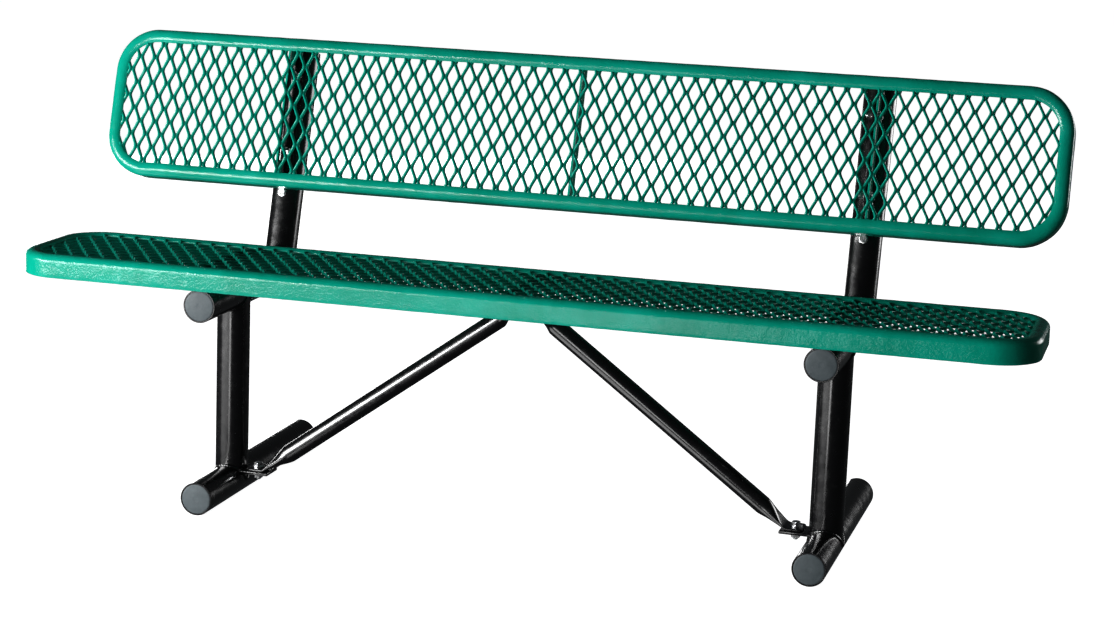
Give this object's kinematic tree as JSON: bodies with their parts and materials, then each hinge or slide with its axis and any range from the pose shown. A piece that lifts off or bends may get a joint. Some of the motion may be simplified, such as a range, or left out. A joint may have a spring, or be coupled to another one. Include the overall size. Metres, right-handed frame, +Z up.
{
  "type": "park bench with back",
  "caption": "Long park bench with a back: plastic-coated expanded metal seat and back panels bolted to two welded round tube frames with diagonal braces.",
  "frame": {"origin": "on the ground, at the middle of the bench's overall footprint", "axes": "+X along the bench, +Y from the seat's front edge towards the back, +Z up"},
  "size_m": [1.829, 0.558, 0.8248],
  "materials": {
    "green_plastisol": "thick glossy dipped plastisol coating with slight orange peel",
    "black_powder_coat": "glossy black powder coat",
    "grey_cap": "matte moulded polyethylene",
    "zinc_hardware": "bright zinc plate"
  },
  "bodies": {
    "root": {"back_bolts": "zinc_hardware", "back_frame": "green_plastisol", "back_mesh": "green_plastisol", "back_nuts": "zinc_hardware", "back_stiffener_centre": "green_plastisol", "back_stiffener_left": "green_plastisol", "back_stiffener_right": "green_plastisol", "back_support_cap_left": "grey_cap", "back_support_cap_right": "grey_cap", "back_support_screws": "zinc_hardware", "back_support_tube_left": "black_powder_coat", "back_support_tube_right": "black_powder_coat", "back_tab_left": "black_powder_coat", "back_tab_right": "black_powder_coat", "back_washers": "zinc_hardware", "brace_bolts": "zinc_hardware", "brace_left": "black_powder_coat", "brace_nuts": "zinc_hardware", "brace_right": "black_powder_coat", "brace_tab_left": "black_powder_coat", "brace_tab_right": "black_powder_coat", "brace_washers": "zinc_hardware", "foot_front_cap_left": "grey_cap", "foot_front_cap_right": "grey_cap", "foot_rear_cap_left": "grey_cap", "foot_rear_cap_right": "grey_cap", "foot_tube_left": "black_powder_coat", "foot_tube_right": "black_powder_coat", "post_tube_left": "black_powder_coat", "post_tube_right": "black_powder_coat", "seat_bolts": "zinc_hardware", "seat_brace_bracket": "green_plastisol", "seat_frame": "green_plastisol", "seat_mesh": "green_plastisol", "seat_nuts": "zinc_hardware", "seat_stiffener_centre": "green_plastisol", "seat_stiffener_left": "green_plastisol", "seat_stiffener_right": "green_plastisol", "seat_support_front_cap_left": "grey_cap", "seat_support_front_cap_right": "grey_cap", "seat_support_rear_cap_left": "grey_cap", "seat_support_rear_cap_right": "grey_cap", "seat_support_tube_left": "black_powder_coat", "seat_support_tube_right": "black_powder_coat", "seat_tab_left": "black_powder_coat", "seat_tab_right": "black_powder_coat", "seat_washers": "zinc_hardware"}
  },
  "joints": []
}
